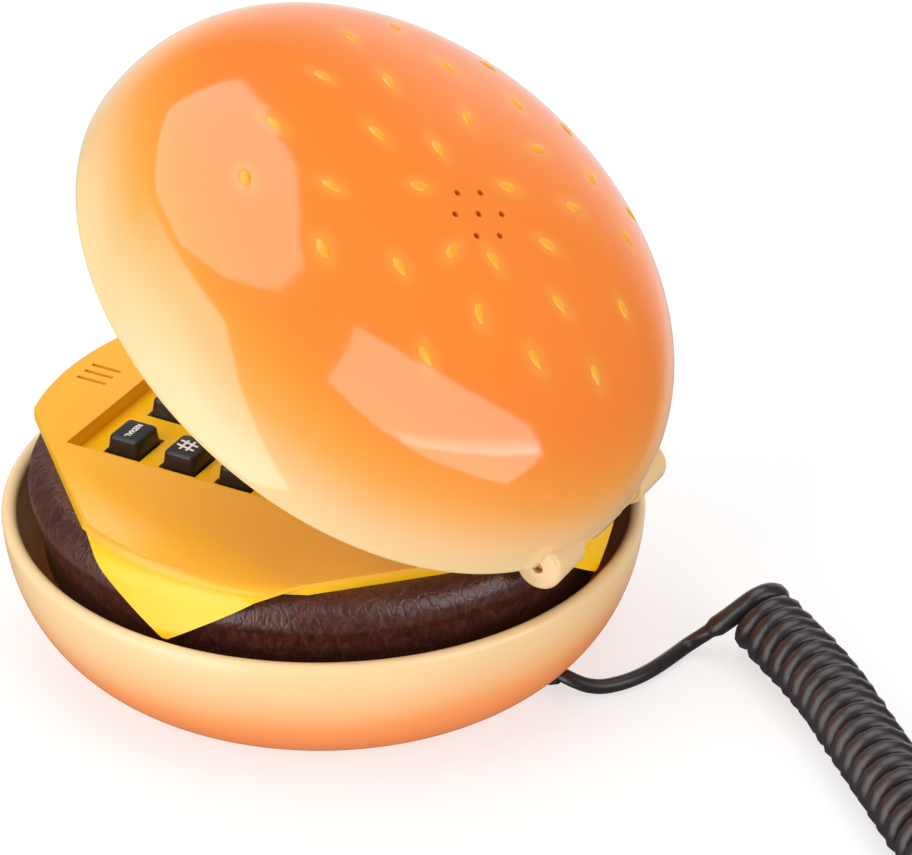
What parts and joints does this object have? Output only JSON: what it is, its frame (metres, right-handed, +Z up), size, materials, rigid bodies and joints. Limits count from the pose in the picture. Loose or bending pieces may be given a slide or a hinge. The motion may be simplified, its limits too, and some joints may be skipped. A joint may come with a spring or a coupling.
{
  "type": "novelty shaped telephone",
  "caption": "Corded clamshell telephone shaped like a hamburger: a hinged top bun lid over a cheese slice keypad deck, patty ring, bottom bun and curly cord.",
  "frame": {"origin": "on the table, under the centre of the bottom bun, at the foot ring's underside", "axes": "+Z up, X along the lid's hinge, +Y from the microphone end towards the hinge and the cord"},
  "size_m": [0.118, 0.2609, 0.1171],
  "materials": {
    "upper_bun_plastic": "glossy orange, airbrushed to cream at the rim, yellow seeds",
    "lower_bun_plastic": "satin gloss, cream at the rim airbrushed to orange below",
    "cover_plastic": "satin cream",
    "cheese_plastic": "satin yellow orange, brighter yellow edges",
    "patty_plastic": "leathery grained dark brown, semi gloss",
    "key_black": "satin black with white printed legends",
    "knob_black": "satin black",
    "black_rubber": "matt black",
    "mat_rubber": "matt grey",
    "foam_gasket": "matt foam",
    "weight_steel": "dull grey",
    "pin_steel": "bright",
    "screw_steel": "zinc plated",
    "switch_metal": "tinned",
    "capsule_metal": "satin",
    "leaf_brass": "bright",
    "board_green": "solder mask green",
    "chip_black": "matt black",
    "capacitor_sleeve": "blue sleeve",
    "relay_case": "off white",
    "clip_plastic": "natural white",
    "lead_red": "red insulation",
    "cord_sheath": "near black brown with a soft sheen",
    "plug_clear": "clear moulded plastic"
  },
  "bodies": {
    "phone_base": {"bottom_bun_shell": "lower_bun_plastic", "foot_ring": "black_rubber", "ballast_plate": "weight_steel", "patty_frame": "patty_plastic", "cheese_deck": "cheese_plastic", "hinge_pins": "pin_steel", "key_mat": "mat_rubber", "main_board": "board_green", "dial_chip": "chip_black", "line_capacitors": "capacitor_sleeve", "line_relay": "relay_case", "hook_switch": "chip_black", "hook_leaf": "leaf_brass", "microphone": "capsule_metal", "microphone_boot": "black_rubber", "base_screws": "screw_steel", "board_screws": "screw_steel", "slide_switch_bodies": "switch_metal", "cord_grommet": "black_rubber", "cord_tail": "cord_sheath", "cord_coil": "cord_sheath", "cord_end_tail": "cord_sheath", "line_plug": "plug_clear"},
    "lid": {"top_bun_shell": "upper_bun_plastic", "lid_inner_cover": "cover_plastic", "earpiece_gasket": "foam_gasket", "earpiece_speaker": "capsule_metal", "ringer_sounder": "leaf_brass", "ringer_clip": "clip_plastic", "lid_lead": "lead_red", "lid_screws": "screw_steel"},
    "key_1": {"key_1": "key_black"},
    "key_2": {"key_2": "key_black"},
    "key_3": {"key_3": "key_black"},
    "key_4": {"key_4": "key_black"},
    "key_5": {"key_5": "key_black"},
    "key_6": {"key_6": "key_black"},
    "key_7": {"key_7": "key_black"},
    "key_8": {"key_8": "key_black"},
    "key_9": {"key_9": "key_black"},
    "key_star": {"key_star": "key_black"},
    "key_0": {"key_0": "key_black"},
    "key_hash": {"key_hash": "key_black"},
    "key_mute": {"key_mute": "key_black"},
    "key_flash": {"key_flash": "key_black"},
    "key_redial": {"key_redial": "key_black"},
    "ringer_switch_knob": {"ringer_switch_knob": "knob_black"},
    "tone_switch_knob": {"tone_switch_knob": "knob_black"}
  },
  "joints": [
    {"name": "lid_hinge", "type": "hinge", "parent": "phone_base", "child": "lid", "pos_m": [0, 0.0549, 0.0396], "axis": [-1, 0, 0], "range_deg": [-35.6, 64.4]},
    {"name": "key_1_press", "type": "slide", "parent": "phone_base", "child": "key_1", "axis": [0, 0, -1], "range_m": [0, 0.0012], "stiffness_N_per_m": 400, "springref_m": -0.0005},
    {"name": "key_2_press", "type": "slide", "parent": "phone_base", "child": "key_2", "axis": [0, 0, -1], "range_m": [0, 0.0012], "stiffness_N_per_m": 400, "springref_m": -0.0005},
    {"name": "key_3_press", "type": "slide", "parent": "phone_base", "child": "key_3", "axis": [0, 0, -1], "range_m": [0, 0.0012], "stiffness_N_per_m": 400, "springref_m": -0.0005},
    {"name": "key_4_press", "type": "slide", "parent": "phone_base", "child": "key_4", "axis": [0, 0, -1], "range_m": [0, 0.0012], "stiffness_N_per_m": 400, "springref_m": -0.0005},
    {"name": "key_5_press", "type": "slide", "parent": "phone_base", "child": "key_5", "axis": [0, 0, -1], "range_m": [0, 0.0012], "stiffness_N_per_m": 400, "springref_m": -0.0005},
    {"name": "key_6_press", "type": "slide", "parent": "phone_base", "child": "key_6", "axis": [0, 0, -1], "range_m": [0, 0.0012], "stiffness_N_per_m": 400, "springref_m": -0.0005},
    {"name": "key_7_press", "type": "slide", "parent": "phone_base", "child": "key_7", "axis": [0, 0, -1], "range_m": [0, 0.0012], "stiffness_N_per_m": 400, "springref_m": -0.0005},
    {"name": "key_8_press", "type": "slide", "parent": "phone_base", "child": "key_8", "axis": [0, 0, -1], "range_m": [0, 0.0012], "stiffness_N_per_m": 400, "springref_m": -0.0005},
    {"name": "key_9_press", "type": "slide", "parent": "phone_base", "child": "key_9", "axis": [0, 0, -1], "range_m": [0, 0.0012], "stiffness_N_per_m": 400, "springref_m": -0.0005},
    {"name": "key_star_press", "type": "slide", "parent": "phone_base", "child": "key_star", "axis": [0, 0, -1], "range_m": [0, 0.0012], "stiffness_N_per_m": 400, "springref_m": -0.0005},
    {"name": "key_0_press", "type": "slide", "parent": "phone_base", "child": "key_0", "axis": [0, 0, -1], "range_m": [0, 0.0012], "stiffness_N_per_m": 400, "springref_m": -0.0005},
    {"name": "key_hash_press", "type": "slide", "parent": "phone_base", "child": "key_hash", "axis": [0, 0, -1], "range_m": [0, 0.0012], "stiffness_N_per_m": 400, "springref_m": -0.0005},
    {"name": "key_mute_press", "type": "slide", "parent": "phone_base", "child": "key_mute", "axis": [0, 0, -1], "range_m": [0, 0.0012], "stiffness_N_per_m": 400, "springref_m": -0.0005},
    {"name": "key_flash_press", "type": "slide", "parent": "phone_base", "child": "key_flash", "axis": [0, 0, -1], "range_m": [0, 0.0012], "stiffness_N_per_m": 400, "springref_m": -0.0005},
    {"name": "key_redial_press", "type": "slide", "parent": "phone_base", "child": "key_redial", "axis": [0, 0, -1], "range_m": [0, 0.0012], "stiffness_N_per_m": 400, "springref_m": -0.0005},
    {"name": "ringer_switch_slide", "type": "slide", "parent": "phone_base", "child": "ringer_switch_knob", "axis": [1, 0, 0], "range_m": [-0.002, 0.002]},
    {"name": "tone_switch_slide", "type": "slide", "parent": "phone_base", "child": "tone_switch_knob", "axis": [1, 0, 0], "range_m": [0, 0.004]}
  ]
}
